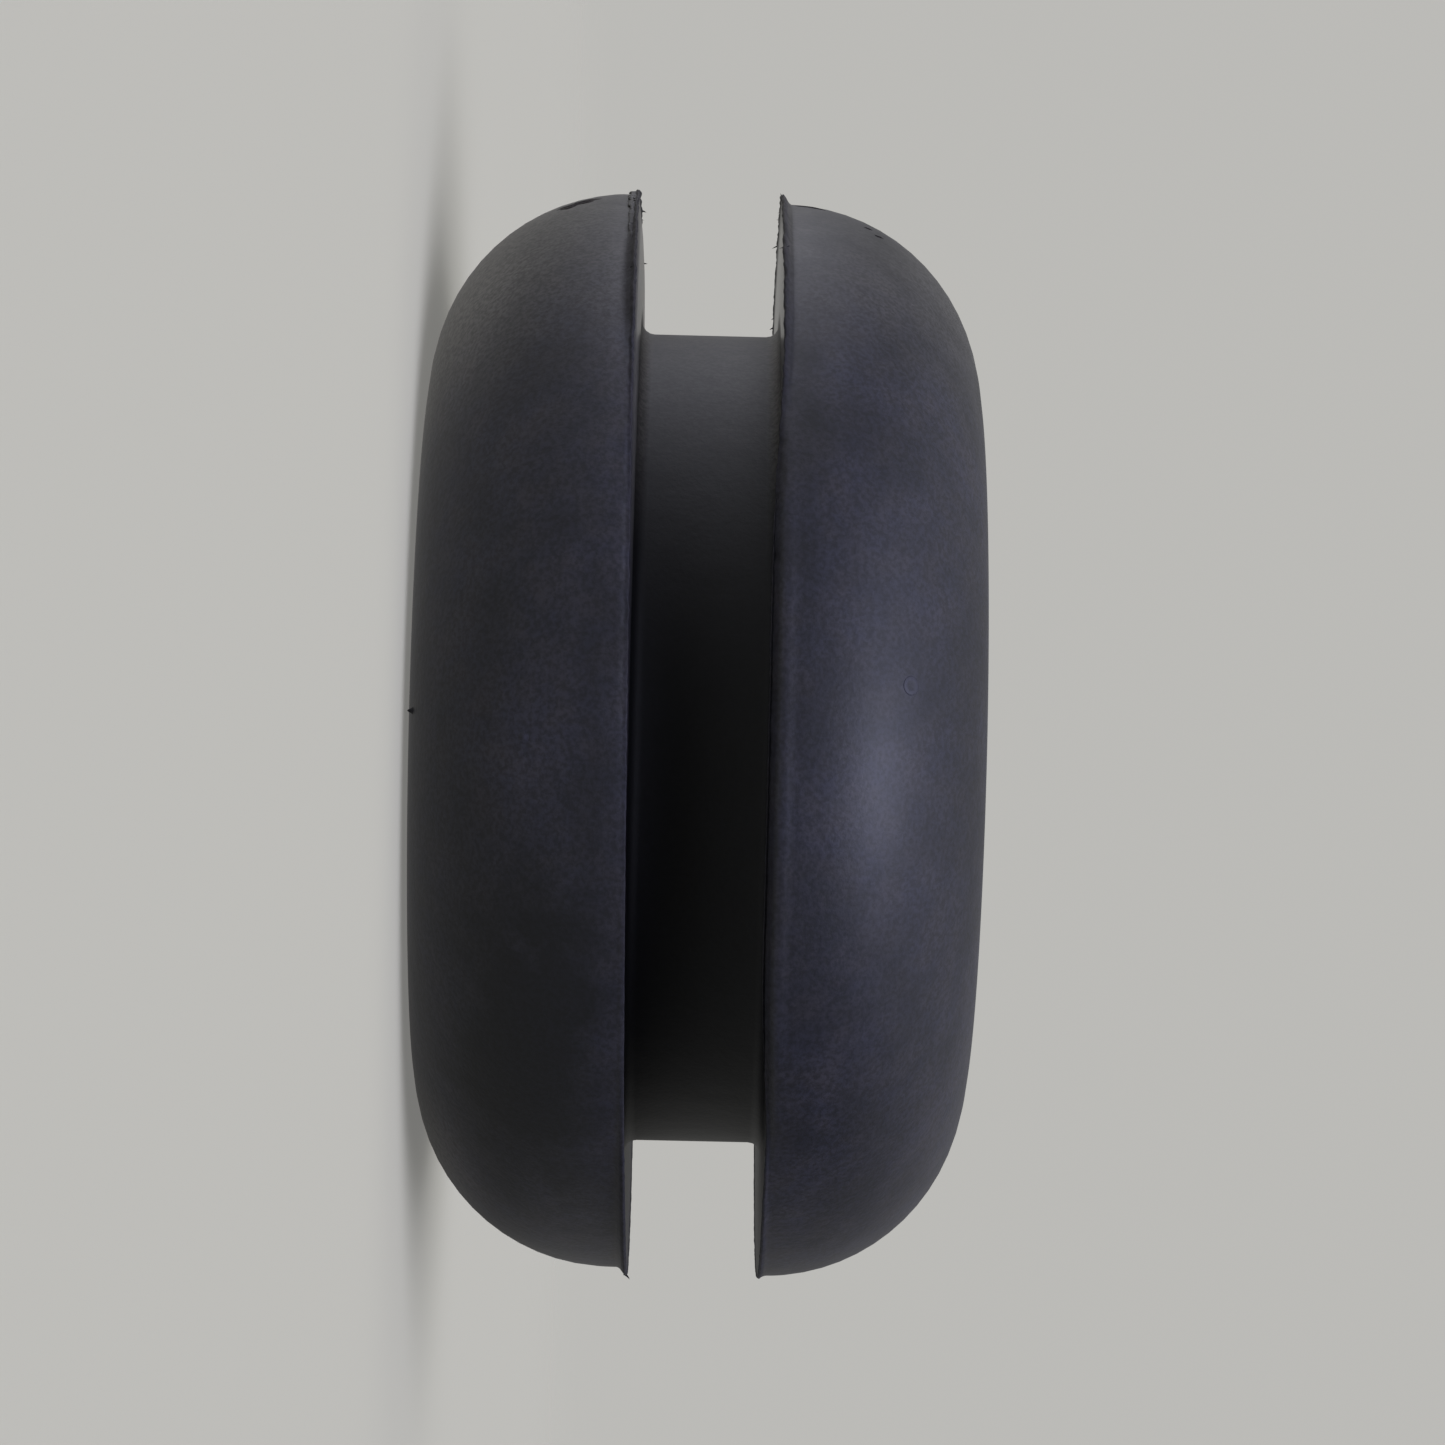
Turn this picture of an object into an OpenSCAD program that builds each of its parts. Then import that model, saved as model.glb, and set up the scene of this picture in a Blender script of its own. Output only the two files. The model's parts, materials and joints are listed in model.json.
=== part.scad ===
// A panel grommet: one ring of moulded rubber that snaps into a round hole in a thin panel
// and guards the cable that passes through it. The panel's edge sits in the groove between
// two crowned flanges. The grommet stands on one flange, its axis is Z, and its origin is
// on the axis in the middle of the groove.

/* [Panel groove] */
// Diameter of the groove's floor, which fills the hole in the panel
neck_d = 18.9; // [16:0.1:23]
// Width of the groove, which takes the thickness of the panel
groove_w = 3.2; // [1:0.1:8]
// Radius of the fillets between the groove's floor and its two walls
neck_fillet = 0.3; // [0.05:0.05:1.5]

/* [Flanges] */
// Diameter across the lips, the widest part of the grommet
lip_d = 25.4; // [21:0.1:36]
// Thickness of one flange, from the groove's wall to its flat outer face
flange_t = 4.75; // [3:0.05:7]
// Diameter of the flat outer face, where the crown begins
face_d = 15.4; // [14:0.1:19]
// Height of the thin bead that the mould's parting line leaves along each lip
bead_h = 0.16; // [0.02:0.02:0.3]
// Width of that bead, measured from the groove's wall
bead_w = 0.4; // [0.1:0.05:1.2]

/* [Cable bore] */
// Diameter of the bore that the cable passes through
bore_d = 12.7; // [6:0.1:15]
// Radius that rounds the bore's two mouths, so that they don't cut the cable
mouth_round = 0.8; // [0.1:0.05:2]

/* [Hidden] */
$fn = 160;

// Radii, measured out from the axis
bore_r = bore_d / 2;
neck_r = neck_d / 2;
face_r = face_d / 2;
lip_r = lip_d / 2;
crown_end_r = lip_r - bead_h;
// The neck and the flanges overlap the core from here outwards
inner_r = (bore_r + face_r) / 2;

// Heights above the middle of the groove
wall_z = groove_w / 2;
face_z = wall_z + flange_t;

// The crown is one arc, tangent to the flat face and ending at the groove's wall
crown_reach = crown_end_r - face_r;
crown_r = (pow(crown_reach, 2) + pow(flange_t, 2)) / (2 * flange_t);
crown_z = face_z - crown_r;

// A fillet can't be larger than the walls that carry it
fillet_r = min(neck_fillet, wall_z, (lip_r - neck_r) / 2);
mouth_r = min(mouth_round, 0.6 * (face_r - bore_r), flange_t / 2);

// Radius of the crown's surface at height z
function crown_at(z) = face_r + sqrt(pow(crown_r, 2) - pow(z - crown_z, 2));

// The sharp side of a quarter round: added it fills a corner, and taken away it rounds an edge
module quarter_round(r) {
    difference() {
        translate([-r, -r]) square(2 * r);
        translate([r, r]) circle(r);
    }
}

// The core of the ring, from the bore to where the crowns begin, one flat face to the other
module core_section() {
    translate([bore_r, -face_z]) square([face_r - bore_r, 2 * face_z]);
}

// The ring under the groove's floor
module neck_section() {
    translate([inner_r, -wall_z]) square([neck_r - inner_r, groove_w]);
}

// One flange's crown, trimmed at the groove's wall
module crown_section() {
    intersection() {
        translate([face_r, crown_z]) circle(crown_r);
        translate([inner_r, wall_z]) square([lip_r - inner_r, flange_t]);
    }
}

// The bead: its flank falls from the lip's sharp edge and runs a little way into the crown
module bead_section() {
    lip_edge = [lip_r, wall_z];
    bead_foot = [crown_at(wall_z + bead_w), wall_z + bead_w];
    past_foot = lip_edge + 1.2 * (bead_foot - lip_edge);
    polygon([[inner_r, wall_z], lip_edge, past_foot]);
}

// One flange, with the fillet that ties its wall to the groove's floor
module flange_section() {
    crown_section();
    bead_section();
    translate([neck_r, wall_z]) mirror([0, 1]) quarter_round(fillet_r);
}

// The whole section of the ring, on the side where X is the radius and Y the height
module ring_section() {
    difference() {
        union() {
            core_section();
            neck_section();
            flange_section();
            mirror([0, 1]) flange_section();
        }
        translate([bore_r, -face_z]) quarter_round(mouth_r);
        translate([bore_r, face_z]) mirror([0, 1]) quarter_round(mouth_r);
    }
}

module grommet() {
    color([0.18, 0.18, 0.2])
    rotate_extrude() ring_section();
}

grommet();
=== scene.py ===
# %% [markdown]
# # A rubber panel grommet
#
# A panel grommet is one ring of black rubber, pressed in a hot steel mould. Two crowned flanges
# hold it in a hole in a thin panel, the groove between them takes the panel's edge, and a cable
# runs through the bore. It is one piece, so this lesson is about one shape and one finish: how
# to turn a section into a ring with Geometry Nodes, how to give the lips the ragged edge that a
# mould leaves, and how to make rubber look like rubber.

# %% The frame
import bpy
import json
import math
from mathutils import Matrix, Vector


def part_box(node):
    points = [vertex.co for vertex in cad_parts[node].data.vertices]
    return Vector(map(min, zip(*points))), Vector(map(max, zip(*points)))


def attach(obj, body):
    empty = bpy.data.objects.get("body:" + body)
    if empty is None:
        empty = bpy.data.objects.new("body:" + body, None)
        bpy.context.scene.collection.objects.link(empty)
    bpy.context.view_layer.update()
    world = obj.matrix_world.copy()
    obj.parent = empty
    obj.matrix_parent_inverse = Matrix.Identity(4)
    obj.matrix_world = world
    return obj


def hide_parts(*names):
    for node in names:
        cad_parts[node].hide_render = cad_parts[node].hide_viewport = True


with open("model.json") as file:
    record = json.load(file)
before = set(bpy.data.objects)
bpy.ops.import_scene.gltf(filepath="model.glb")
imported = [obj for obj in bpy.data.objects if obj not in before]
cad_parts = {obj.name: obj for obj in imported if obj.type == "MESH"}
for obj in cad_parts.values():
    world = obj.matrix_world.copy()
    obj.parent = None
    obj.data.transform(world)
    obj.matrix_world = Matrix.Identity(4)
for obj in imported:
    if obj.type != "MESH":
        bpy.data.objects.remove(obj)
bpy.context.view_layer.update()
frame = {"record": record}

MM = 0.001
low, high = (Vector(corner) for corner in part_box("grommet"))
print("the solid reaches from", low, "to", high)

# %% [markdown]
# ## The sizes
#
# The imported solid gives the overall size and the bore. The rest of the section follows the same
# rules as the solid: a groove in the middle, a flat face, and a crown that is one arc from the
# face to the lip.

# %% Sizes
lip_r = high.x
face_z = high.z
bore_r = frame["record"]["mounts"][0]["dims"]["r_mm"] * MM
neck_r = 9.45 * MM
wall_z = 1.6 * MM
face_r = 8.0 * MM
mouth_r = 0.8 * MM
fillet_r = 0.3 * MM
bead_h = 0.16 * MM
bead_w = 0.22 * MM
# on a moulded ring the groove never lies quite in the middle: here the lower flange is thicker
groove_middle = 0.09 * MM
print(f"upper flange {(face_z - groove_middle - wall_z) / MM:.2f} mm thick, "
      f"lower flange {(face_z + groove_middle - wall_z) / MM:.2f} mm")


# %% [markdown]
# ## The section
#
# Half of the section is drawn as lines and arcs, from the middle of the bore out to the middle
# of the groove's floor, and the other half is drawn the same way and turned over. Points lie
# close together where the ring bends sharply and far apart on its straight stretches, because
# each point becomes a whole ring of faces.

# %% Section helpers
def arc(centre_r, centre_z, radius, start, end, steps):
    """Points on an arc in the section, from one angle to another in degrees."""
    points = []
    for i in range(steps + 1):
        a = math.radians(start + (end - start) * i / steps)
        points.append((centre_r + radius * math.cos(a), centre_z + radius * math.sin(a)))
    return points


def line(r0, z0, r1, z1, steps):
    """Evenly spaced points on a straight stretch, without its first point."""
    return [(r0 + (r1 - r0) * i / steps, z0 + (z1 - z0) * i / steps) for i in range(1, steps + 1)]


def crown_arc(wall):
    """The crown's radius and the height of its centre, for a wall at the given height."""
    flange_t = face_z - wall
    crown_reach = lip_r - bead_h - face_r
    crown_r = (crown_reach ** 2 + flange_t ** 2) / (2 * flange_t)
    return crown_r, face_z - crown_r


# %% The half section
crown_points = 15
# the last degrees of the crown bend more where the lip is worn, so they get more points
lip_zone = 5.0
lip_zone_points = 5
# the bead's flank is hollow: it leaves the crown gently and stands up towards the lip
bead_points = 8
bead_hollow = 1.7
lip_round = 0.06 * MM
# a little flash stands over the groove along both lips
flash_points = 4
flash_h = 0.03 * MM
flash_w = 0.12 * MM


def half_section(wall):
    """The section above the bore's middle, with the groove's wall at the given height."""
    crown_r, crown_z = crown_arc(wall)
    lip_turn = math.degrees(math.asin((bead_w + wall - crown_z) / crown_r))
    outline = line(bore_r, 0, bore_r, face_z - mouth_r, 2)
    outline += arc(bore_r + mouth_r, face_z - mouth_r, mouth_r, 180, 90, 5)[1:]
    outline += line(bore_r + mouth_r, face_z, face_r, face_z, 1)
    outline += arc(face_r, crown_z, crown_r, 90, lip_turn + lip_zone, crown_points)[1:]
    outline += arc(face_r, crown_z, crown_r, lip_turn + lip_zone, lip_turn, lip_zone_points)[1:]
    foot_r, foot_z = outline[-1]
    tip_z = wall - flash_h + lip_round
    for i in range(1, bead_points + 1):
        t = i / bead_points
        outline.append((foot_r + (lip_r - foot_r) * t ** bead_hollow, foot_z + (tip_z - foot_z) * t))
    outline += arc(lip_r - lip_round, tip_z, lip_round, 0, -80, 4)[1:]
    for i in range(1, flash_points + 1):
        t = i / flash_points
        outline.append((lip_r - lip_round - flash_w * t, wall - flash_h * (1 - t) ** 2))
    outline += line(lip_r - lip_round - flash_w, wall, neck_r + fillet_r, wall, 4)
    outline += arc(neck_r + fillet_r, wall - fillet_r, fillet_r, 90, 180, 4)[1:]
    outline += line(neck_r, wall - fillet_r, neck_r, wall - wall_z, 1)
    return outline


upper = half_section(wall_z + groove_middle)
lower = [(r, -z) for r, z in reversed(half_section(wall_z - groove_middle)[:-1])]
section = [(bore_r, 0)] + upper + lower
print("the section has", len(section), "points")


# %% The section as a mesh
def new_object(name, data):
    """An object that shows a mesh or a camera, linked into the scene."""
    thing = bpy.data.objects.new(name, data)
    bpy.context.scene.collection.objects.link(thing)
    return thing


section_mesh = bpy.data.meshes.new("grommet_section")
section_mesh.from_pydata([(r, z, 0) for r, z in section], [], [])
drawn_section = new_object("grommet_section", section_mesh)

# %% [markdown]
# ## A small set of helpers for node trees
#
# Geometry Nodes and shader nodes are built the same way from Python: make a node, set its
# inputs, link its output onwards. These helpers keep the trees short enough to read. A value
# given to them may be a plain number or another node's output.

# %% Making a node
def put(tree, socket, value):
    """Give an input socket a number, a vector or another node's output."""
    if isinstance(value, bpy.types.NodeSocket):
        tree.links.new(value, socket)
    else:
        socket.default_value = value


def add(tree, kind, inputs=None, **settings):
    """Make a node, set its options, and give its inputs by name or by number."""
    node = tree.nodes.new(kind)
    for name, value in settings.items():
        setattr(node, name, value)
    for key, value in (inputs or {}).items():
        if value is not None:
            put(tree, node.inputs[key], value)
    return node


def new_group(name, kind, inputs, outputs):
    """An empty node group with named sockets, each given with its type."""
    tree = bpy.data.node_groups.new(name, kind)
    for in_out, sockets in (("INPUT", inputs), ("OUTPUT", outputs)):
        for title, socket in sockets.items():
            tree.interface.new_socket(title, in_out=in_out, socket_type="NodeSocket" + socket)
    return tree, tree.nodes.new("NodeGroupInput").outputs


# %% Sums
def calc(tree, operation, a, b=None, c=None):
    """One Math node, and its output."""
    return add(tree, "ShaderNodeMath", {0: a, 1: b, 2: c}, operation=operation).outputs[0]


def product(tree, *factors):
    """Two or more numbers multiplied."""
    total = factors[0]
    for factor in factors[1:]:
        total = calc(tree, "MULTIPLY", total, factor)
    return total


def fade(tree, value, start, end, to_start=1.0, to_end=0.0):
    """A smooth step from one value to another as the input passes from start to end."""
    kind = {"From Min": start, "From Max": end, "To Min": to_start, "To Max": to_end}
    node = add(tree, "ShaderNodeMapRange", {"Value": value, **kind}, interpolation_type="SMOOTHSTEP")
    return node.outputs["Result"]


def rise(tree, value, start, end):
    """A smooth step from 0 to 1 as the input passes from start to end."""
    return fade(tree, value, start, end, 0.0, 1.0)


# %% Vectors and colours
def vector_calc(tree, operation, a, b):
    """One Vector Math node that joins two vectors, and its output."""
    return add(tree, "ShaderNodeVectorMath", {0: a, 1: b}, operation=operation).outputs[0]


def dot(tree, a, b):
    """How far one vector reaches along another."""
    return add(tree, "ShaderNodeVectorMath", {0: a, 1: b}, operation="DOT_PRODUCT").outputs["Value"]


def scaled(tree, vector, scale):
    """A vector times a number."""
    return add(tree, "ShaderNodeVectorMath", {0: vector, "Scale": scale}, operation="SCALE").outputs[0]


def length(tree, vector):
    """How long a vector is."""
    return add(tree, "ShaderNodeVectorMath", {0: vector}, operation="LENGTH").outputs["Value"]


def direction(tree, vector):
    """The vector of length 1 that points the same way."""
    return add(tree, "ShaderNodeVectorMath", {0: vector}, operation="NORMALIZE").outputs[0]


def split(tree, vector):
    """The X, Y and Z of a vector."""
    return add(tree, "ShaderNodeSeparateXYZ", {0: vector}).outputs


def joined(tree, **parts):
    """A vector made of its X, Y and Z, each of them 0 unless it is given."""
    return add(tree, "ShaderNodeCombineXYZ", parts).outputs[0]


def mixed(tree, factor, a, b):
    """A colour between two colours."""
    node = add(tree, "ShaderNodeMix", {0: factor}, data_type="RGBA")
    put(tree, node.inputs[6], a)
    put(tree, node.inputs[7], b)
    return node.outputs[2]


# %% Noise
def noise(tree, place, size, detail, seed=None, **more):
    """The outputs of a noise texture with lumps of about the given size. A seed moves it on."""
    inputs = {"Vector": place, "Scale": calc(tree, "DIVIDE", 1, size), "Detail": detail, "W": seed, **more}
    dimensions = "3D" if seed is None else "4D"
    return add(tree, "ShaderNodeTexNoise", inputs, noise_dimensions=dimensions).outputs


def wander(tree, texture, reach):
    """An offset that follows a noise texture's colour, to both sides of nothing."""
    return scaled(tree, vector_calc(tree, "SUBTRACT", texture["Color"], (0.5, 0.5, 0.5)), reach)


# %% The two ends of a tree for geometry
def position(tree):
    """Where each point is."""
    return add(tree, "GeometryNodeInputPosition").outputs[0]


def finish_tree(tree, geometry, material):
    """The end of a tree: instances made real, the material set, and the output."""
    real = add(tree, "GeometryNodeRealizeInstances", {"Geometry": geometry})
    coated = add(tree, "GeometryNodeSetMaterial", {"Geometry": real.outputs[0], "Material": material})
    add(tree, "NodeGroupOutput", {0: coated.outputs[0]})
    print(tree.name, "has", len(tree.nodes), "nodes")
    return tree


# %% [markdown]
# ## The lathe
#
# A lathe turns a section round an axis. Blender has the Screw modifier and Curve to Mesh for
# that, but here the tree does it from a flat grid: one side of the grid counts the section's
# points, the other counts steps round the axis, and Set Position rolls it up. That leaves room
# in the same tree for what a mould, a trimming knife and long use do to rubber.

# %% From a flat grid to a ring
def rolled_up(tree, given):
    """The section turned round the axis, with its seams closed."""
    size = add(tree, "GeometryNodeAttributeDomainSize", {"Geometry": given["Geometry"]})
    points = size.outputs["Point Count"]
    grid = add(tree, "GeometryNodeMeshGrid", {
        "Size X": 1.0, "Size Y": 1.0,
        "Vertices X": calc(tree, "ADD", given["Steps"], 1),
        "Vertices Y": calc(tree, "ADD", points, 1),
    })
    across = split(tree, position(tree))
    along = calc(tree, "ROUND", product(tree, calc(tree, "ADD", across["Y"], 0.5), points))
    pick = add(tree, "GeometryNodeSampleIndex", {
        "Geometry": given["Geometry"],
        "Index": calc(tree, "MODULO", along, points),
    }, data_type="FLOAT_VECTOR")
    put(tree, pick.inputs["Value"], position(tree))
    drawn = split(tree, pick.outputs[0])
    turn = product(tree, calc(tree, "ADD", across["X"], 0.5), 2 * math.pi)
    rolled = joined(tree, X=product(tree, drawn["X"], calc(tree, "COSINE", turn)),
                    Y=product(tree, drawn["X"], calc(tree, "SINE", turn)), Z=drawn["Y"])
    ring = add(tree, "GeometryNodeSetPosition", {"Geometry": grid.outputs["Mesh"], "Position": rolled})
    closed = add(tree, "GeometryNodeMergeByDistance", {"Geometry": ring.outputs[0], "Distance": 1e-7})
    return closed.outputs[0]


# %% Where a point lies
def whereabouts(tree, given):
    """The side of the ring that a point is on, and how far it lies from the nearer lip."""
    place = position(tree)
    xyz = split(tree, place)
    flat = joined(tree, X=xyz["X"], Y=xyz["Y"])
    off_lip = calc(tree, "SUBTRACT", length(tree, flat), given["Lip Radius"])
    above = calc(tree, "SUBTRACT", xyz["Z"], given["Groove Middle"])
    off_wall = calc(tree, "SUBTRACT", calc(tree, "ABSOLUTE", above), given["Wall Height"])
    squares = calc(tree, "ADD", calc(tree, "POWER", off_lip, 2), calc(tree, "POWER", off_wall, 2))
    away = calc(tree, "SQRT", squares)
    return {"place": place, "side": direction(tree, flat), "off_lip": off_lip, "above": above,
            "off_wall": off_wall, "away": away, "near_lip": fade(tree, away, 0.0, given["Tear Reach"]),
            "upper": calc(tree, "GREATER_THAN", above, 0.0)}


def for_half(tree, given, at, name):
    """An input that the lower and the upper half each have their own value of."""
    return add(tree, "GeometryNodeSwitch", {
        "Switch": at["upper"], "False": given["Lower " + name], "True": given["Upper " + name],
    }, input_type="VECTOR").outputs[0]


# %% [markdown]
# ## What the mould did
#
# Rubber squeezes out between the halves of the mould as a thin flash, and when it is torn off
# it takes bits of the lip with it. Before it let go it pulled the lips along the axis. The lower
# half of the mould sat a little to one side too, so the lower crown is shifted. Each of these is
# a small function that gives an offset for every point.

# %% The torn edge
# the cosine of the angle to the rough side: where the tears start to deepen, and are deepest
tears_deepen = (-0.2, 0.9)
# how rough the lip is, from the far side to the rough side
smoothest = 0.25
roughest = 1.0


def roughness_of_lip(tree, given, at):
    """How badly the lip is torn, round the ring."""
    return fade(tree, dot(tree, at["side"], given["Rough Side"]), *tears_deepen, smoothest, roughest)


def torn_edge(tree, given, at, rough):
    """Noise that moves the lip in and out, deepest on the rough side."""
    texture = noise(tree, at["place"], given["Tear Size"], 1.5, given["Seed"], Roughness=0.6)
    return wander(tree, texture, product(tree, at["near_lip"], rough, given["Tear Depth"]))


# %% The lean and the shift
lean_reach = 1.4 * MM
# the cosine of the angle to -Y: where the pulled stretch begins, and where it is full
pulled_stretch = (0.7, 0.93)
# the outer part of a crown, measured in from the lip, and how soon the shift begins at the wall
crown_zone = (-5.2 * MM, -3.7 * MM)
shift_blend = 0.15 * MM


def lean(tree, given, at):
    """How far the lips were pulled along the axis, to one side over the whole of the lip (X) and
    on a stretch of it that faces -Y (Y)."""
    stretch = rise(tree, dot(tree, at["side"], (0, -1, 0)), *pulled_stretch)
    leaning = joined(tree, X=dot(tree, at["side"], (1, 0, 0)), Y=stretch)
    pull = dot(tree, for_half(tree, given, at, "Lean"), leaning)
    return product(tree, pull, fade(tree, at["away"], 0.0, lean_reach))


def lower_shift_of(tree, given, at):
    """The shift of the lower crown, which leaves the groove's wall and the lip where they are."""
    off_wall = rise(tree, at["off_wall"], 0.0, shift_blend)
    below = calc(tree, "LESS_THAN", at["above"], 0.0)
    return product(tree, off_wall, below, rise(tree, at["off_lip"], *crown_zone), given["Lower Shift"],
                   calc(tree, "SUBTRACT", 1.0, at["near_lip"]))


# %% [markdown]
# ## What long use did
#
# On the side that hands and panels have rubbed, the bead and the flash have gone, and the lip
# is round and pressed over the groove. A parabola rounds it, and behind it a shallow roll of
# pushed rubber is left. The "Wear" inputs hold how deep it is (X), how far it reaches (Y) and
# how much the lip is pressed over (Z).

# %% The worn lips
# the cosine of the angle to the worn side: where the bead goes, and where the lip gets round
bead_goes = (0.6, 0.85)
lip_rounds = (0.75, 0.97)
# how high the roll behind a worn lip stands, as a share of the depth of the wear
roll_share = 0.26
press_reach = 1.0 * MM
# how far in from the lip the wall follows the bead, and how far in any flash stands
wall_follows = 0.6 * MM
flash_zone = 0.5 * MM
# points at most this far above the wall belong to it
wall_skin = flash_h + 0.001 * MM


def lost_bead(tree, given, at):
    """How far a point moves inwards where the bead goes: its own height, and all of it at the wall."""
    proud = calc(tree, "MAXIMUM", calc(tree, "ADD", at["off_lip"], given["Bead Height"]), 0.0)
    by_wall = product(tree, calc(tree, "LESS_THAN", at["off_wall"], wall_skin),
                      rise(tree, at["off_lip"], -wall_follows, 0.0))
    return calc(tree, "MAXIMUM", proud, product(tree, by_wall, given["Bead Height"]))


def wear(tree, given, at):
    """How far a worn point has moved inwards, and how far along the axis."""
    amount = split(tree, for_half(tree, given, at, "Wear"))
    worn_side = dot(tree, at["side"], given["Worn Side"])
    beadless = rise(tree, worn_side, *bead_goes)
    worn = rise(tree, worn_side, *lip_rounds)
    inner = calc(tree, "SUBTRACT", 1.0, calc(tree, "DIVIDE", at["away"], amount["Y"]))
    inner = calc(tree, "MAXIMUM", inner, 0.0)
    parabola = calc(tree, "POWER", inner, 2)
    roll = calc(tree, "POWER", product(tree, calc(tree, "SUBTRACT", inner, parabola), 4.0), 2)
    rounding = calc(tree, "SUBTRACT", parabola, product(tree, roll, roll_share))
    inwards = calc(tree, "ADD", product(tree, lost_bead(tree, given, at), beadless),
                   product(tree, rounding, amount["X"], worn))
    pressed = product(tree, worn, amount["Z"], fade(tree, at["away"], 0.0, press_reach))
    # the flash sinks back into the wall, upwards on the upper half and downwards on the lower
    outwards = calc(tree, "MULTIPLY_ADD", at["upper"], 2.0, -1.0)
    flash = product(tree, calc(tree, "MINIMUM", at["off_wall"], 0.0), beadless, outwards,
                    calc(tree, "GREATER_THAN", at["off_lip"], -flash_zone))
    return inwards, calc(tree, "SUBTRACT", pressed, flash)


# %% [markdown]
# ## The whole lathe
#
# The tree rolls up the ring, adds all the offsets together and moves the points once. A slow
# wave, the sag, keeps the ring from being quite round, and the trim moves each bead to one side,
# because the flash was cut off a little off centre. The tree also writes down which points lie
# by a lip, on its sharp corner and inside the groove, and the rubber's material reads that
# later. It is worked out on the ring as it was drawn, so it is kept before the points move.

# %% The lathe tree
lathe_sizes = ("Lip Radius", "Wall Height", "Groove Middle", "Tear Reach", "Tear Size", "Tear Depth",
               "Bead Height", "Lower Shift", "Sag", "Seed")
lathe_vectors = ("Upper Trim", "Lower Trim", "Upper Lean", "Lower Lean", "Upper Wear", "Lower Wear",
                 "Worn Side", "Rough Side")
# how many waves of the sag fit in a metre
sag_scale = 90.0
corner_zone = (0.06 * MM, 0.16 * MM)
# what counts as the groove: how far in from the lip it goes, and where it fades out by the lip
# and by the wall
groove_depth = 4.0 * MM
groove_edge = (-0.4 * MM, -0.05 * MM)
groove_blend = 0.1 * MM


def lathe_tree():
    """The whole tree: it rolls up the ring, marks it, and moves its points."""
    tree, given = new_group(
        "Rubber lathe", "GeometryNodeTree",
        {"Geometry": "Geometry", "Steps": "Int", **{name: "Float" for name in lathe_sizes},
         **{name: "Vector" for name in lathe_vectors}, "Material": "Material"},
        {"Geometry": "Geometry"})
    shape = rolled_up(tree, given)
    at = whereabouts(tree, given)
    rough = roughness_of_lip(tree, given, at)
    inside = product(tree, fade(tree, at["off_wall"], 0.0, groove_blend),
                     fade(tree, at["off_lip"], *groove_edge),
                     calc(tree, "GREATER_THAN", at["off_lip"], -groove_depth))
    for name, value in (("lip", product(tree, at["near_lip"], rough)),
                        ("corner", fade(tree, at["away"], *corner_zone)), ("groove", inside)):
        shape = add(tree, "GeometryNodeStoreNamedAttribute", {
            "Geometry": shape, "Name": name, "Value": value}, data_type="FLOAT", domain="POINT").outputs[0]

    inwards, along = wear(tree, given, at)
    slid = joined(tree, X=lower_shift_of(tree, given, at), Z=calc(tree, "ADD", lean(tree, given, at), along))
    trimmed = scaled(tree, for_half(tree, given, at, "Trim"), at["near_lip"])
    offset = vector_calc(tree, "ADD", trimmed, slid)
    offset = vector_calc(tree, "SUBTRACT", offset, scaled(tree, at["side"], inwards))
    wave = add(tree, "ShaderNodeTexNoise", {
        "W": given["Seed"], "Scale": sag_scale, "Detail": 1.0, "Vector": at["place"]}, noise_dimensions="4D")
    sagged = wander(tree, wave.outputs, given["Sag"])
    uneven = vector_calc(tree, "ADD", torn_edge(tree, given, at, rough), sagged)
    moved = add(tree, "GeometryNodeSetPosition", {
        "Geometry": shape, "Offset": vector_calc(tree, "ADD", uneven, offset)})
    smooth = add(tree, "GeometryNodeSetShadeSmooth", {"Geometry": moved.outputs[0]})
    return finish_tree(tree, smooth.outputs[0], given["Material"])


lathe = lathe_tree()


# %% Running a tree on an object
def set_inputs(modifier, values):
    """Give a Geometry Nodes modifier its inputs, each by the identifier of its socket."""
    for item in modifier.node_group.interface.items_tree:
        if item.in_out == "INPUT" and item.name in values:
            modifier[item.identifier] = values[item.name]


def bake(source, name, tree, values):
    """Run a tree on an object and keep the result as a plain mesh object."""
    modifier = source.modifiers.new("shape", "NODES")
    modifier.node_group = tree
    set_inputs(modifier, values)
    graph = bpy.context.evaluated_depsgraph_get()
    mesh = bpy.data.meshes.new_from_object(source.evaluated_get(graph), depsgraph=graph)
    source.modifiers.remove(modifier)
    bpy.data.objects.remove(source)
    mesh.name = name
    print(name, "has", len(mesh.polygons), "faces")
    return new_object(name, mesh)


# %% [markdown]
# ## The finish
#
# Moulded rubber is black because it is full of carbon. Its skin copies the blasted steel of the
# mould, so it is satin and not glossy, with a grain far finer than a millimetre. With time a
# grey film of wax comes out of it in soft clouds. Grain, film and soft spot are shader groups,
# so that each material can place them with its own sizes.

# %% The grain of a blasted mould
def grain_group():
    """Fine grain on a slower swell, as a height, and the grain alone as flecks."""
    tree, given = new_group("Blasted grain", "ShaderNodeTree",
                            {"Place": "Vector", "Grain Size": "Float", "Swell Size": "Float"},
                            {"Height": "Float", "Fleck": "Float"})
    fine = noise(tree, given["Place"], given["Grain Size"], 2.0, Roughness=0.6)[0]
    swell = noise(tree, given["Place"], given["Swell Size"], 2.0)[0]
    height = calc(tree, "MULTIPLY_ADD", swell, 2.5, fine)
    add(tree, "NodeGroupOutput", {0: height, 1: rise(tree, fine, 0.3, 0.7)})
    return tree


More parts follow.
